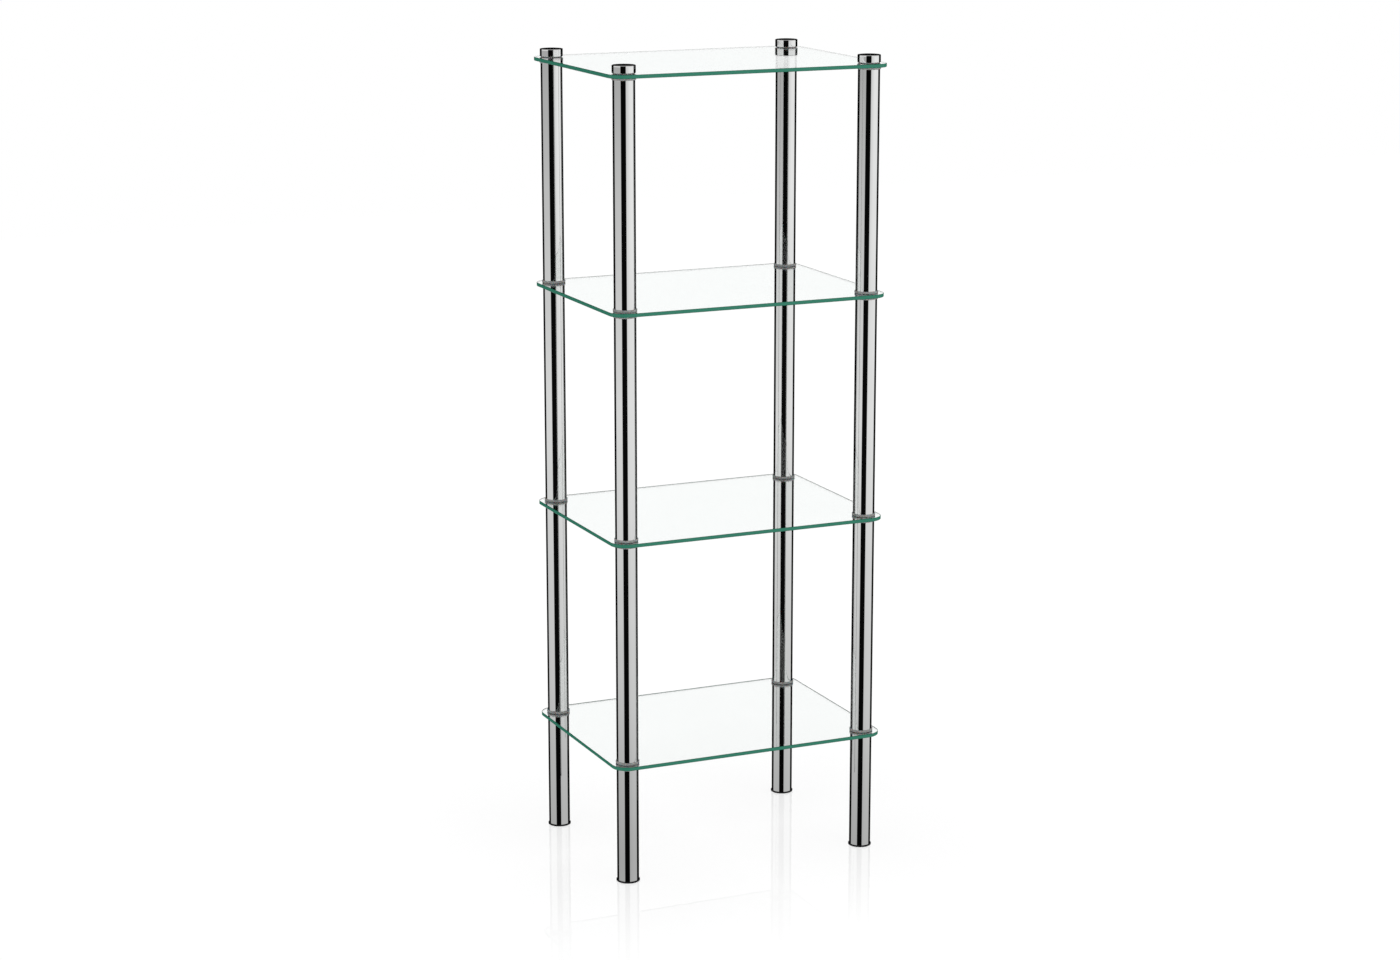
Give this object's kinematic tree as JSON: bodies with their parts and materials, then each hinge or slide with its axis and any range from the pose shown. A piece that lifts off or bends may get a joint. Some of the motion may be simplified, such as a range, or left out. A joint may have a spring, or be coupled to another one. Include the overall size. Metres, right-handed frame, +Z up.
{
  "type": "glass shelf display tower",
  "caption": "Free-standing display tower: clear glass shelves with green edges on chrome tube posts, with chrome caps and black screw-in levelling feet.",
  "frame": {"origin": "on the floor, below the middle of the tower, with the feet screwed fully in", "axes": "+Z up along the posts, +X along the shelves' long side, -Y towards the front"},
  "size_m": [0.4, 0.3, 1.106],
  "materials": {
    "shelf_glass": "clear tempered sheet, green at the edges",
    "tube_chrome": "bright chrome plate on steel",
    "cap_chrome": "bright chrome plate",
    "washer_plastic": "translucent grey, semi-matte",
    "insert_plastic": "moulded nylon, matte",
    "stud_steel": "zinc-plated steel",
    "foot_plastic": "black moulded plastic, matte"
  },
  "bodies": {
    "tower": {"bottom_shelf_glass": "shelf_glass", "bottom_shelf_over_washers": "washer_plastic", "bottom_shelf_studs": "stud_steel", "bottom_shelf_under_washers": "washer_plastic", "cap_washers": "washer_plastic", "front_left_cap": "cap_chrome", "front_left_leg_tube": "tube_chrome", "front_left_lower_tube": "tube_chrome", "front_left_middle_tube": "tube_chrome", "front_left_upper_tube": "tube_chrome", "front_right_cap": "cap_chrome", "front_right_leg_tube": "tube_chrome", "front_right_lower_tube": "tube_chrome", "front_right_middle_tube": "tube_chrome", "front_right_upper_tube": "tube_chrome", "leg_tube_foot_inserts": "insert_plastic", "leg_tube_top_inserts": "insert_plastic", "lower_shelf_glass": "shelf_glass", "lower_shelf_over_washers": "washer_plastic", "lower_shelf_studs": "stud_steel", "lower_shelf_under_washers": "washer_plastic", "lower_tube_bottom_inserts": "insert_plastic", "lower_tube_top_inserts": "insert_plastic", "middle_tube_bottom_inserts": "insert_plastic", "middle_tube_top_inserts": "insert_plastic", "rear_left_cap": "cap_chrome", "rear_left_leg_tube": "tube_chrome", "rear_left_lower_tube": "tube_chrome", "rear_left_middle_tube": "tube_chrome", "rear_left_upper_tube": "tube_chrome", "rear_right_cap": "cap_chrome", "rear_right_leg_tube": "tube_chrome", "rear_right_lower_tube": "tube_chrome", "rear_right_middle_tube": "tube_chrome", "rear_right_upper_tube": "tube_chrome", "top_shelf_glass": "shelf_glass", "top_shelf_studs": "stud_steel", "top_shelf_under_washers": "washer_plastic", "upper_shelf_glass": "shelf_glass", "upper_shelf_over_washers": "washer_plastic", "upper_shelf_studs": "stud_steel", "upper_shelf_under_washers": "washer_plastic", "upper_tube_bottom_inserts": "insert_plastic", "upper_tube_top_inserts": "insert_plastic"},
    "front_left_foot": {"front_left_foot_pad": "foot_plastic"},
    "front_left_foot_screw": {"front_left_foot_stud": "stud_steel"},
    "front_right_foot": {"front_right_foot_pad": "foot_plastic"},
    "front_right_foot_screw": {"front_right_foot_stud": "stud_steel"},
    "rear_left_foot": {"rear_left_foot_pad": "foot_plastic"},
    "rear_left_foot_screw": {"rear_left_foot_stud": "stud_steel"},
    "rear_right_foot": {"rear_right_foot_pad": "foot_plastic"},
    "rear_right_foot_screw": {"rear_right_foot_stud": "stud_steel"}
  },
  "joints": [
    {"name": "front_left_foot_extend", "type": "slide", "parent": "tower", "child": "front_left_foot", "axis": [0, 0, -1], "range_m": [0, 0.01]},
    {"name": "front_left_foot_screw_turn", "type": "hinge", "parent": "front_left_foot", "child": "front_left_foot_screw", "pos_m": [-0.1767, -0.1267, 0.015], "axis": [0, 0, -1], "range_deg": [0, 2880]},
    {"name": "front_right_foot_extend", "type": "slide", "parent": "tower", "child": "front_right_foot", "axis": [0, 0, -1], "range_m": [0, 0.01]},
    {"name": "front_right_foot_screw_turn", "type": "hinge", "parent": "front_right_foot", "child": "front_right_foot_screw", "pos_m": [0.1767, -0.1267, 0.015], "axis": [0, 0, -1], "range_deg": [0, 2880]},
    {"name": "rear_left_foot_extend", "type": "slide", "parent": "tower", "child": "rear_left_foot", "axis": [0, 0, -1], "range_m": [0, 0.01]},
    {"name": "rear_left_foot_screw_turn", "type": "hinge", "parent": "rear_left_foot", "child": "rear_left_foot_screw", "pos_m": [-0.1767, 0.1267, 0.015], "axis": [0, 0, -1], "range_deg": [0, 2880]},
    {"name": "rear_right_foot_extend", "type": "slide", "parent": "tower", "child": "rear_right_foot", "axis": [0, 0, -1], "range_m": [0, 0.01]},
    {"name": "rear_right_foot_screw_turn", "type": "hinge", "parent": "rear_right_foot", "child": "rear_right_foot_screw", "pos_m": [0.1767, 0.1267, 0.015], "axis": [0, 0, -1], "range_deg": [0, 2880]}
  ],
  "couplings": [
    {"joint": "front_left_foot_screw_turn", "follows": "front_left_foot_extend", "rad_per_m": 5026.5},
    {"joint": "front_right_foot_screw_turn", "follows": "front_right_foot_extend", "rad_per_m": 5026.5},
    {"joint": "rear_left_foot_screw_turn", "follows": "rear_left_foot_extend", "rad_per_m": 5026.5},
    {"joint": "rear_right_foot_screw_turn", "follows": "rear_right_foot_extend", "rad_per_m": 5026.5}
  ]
}
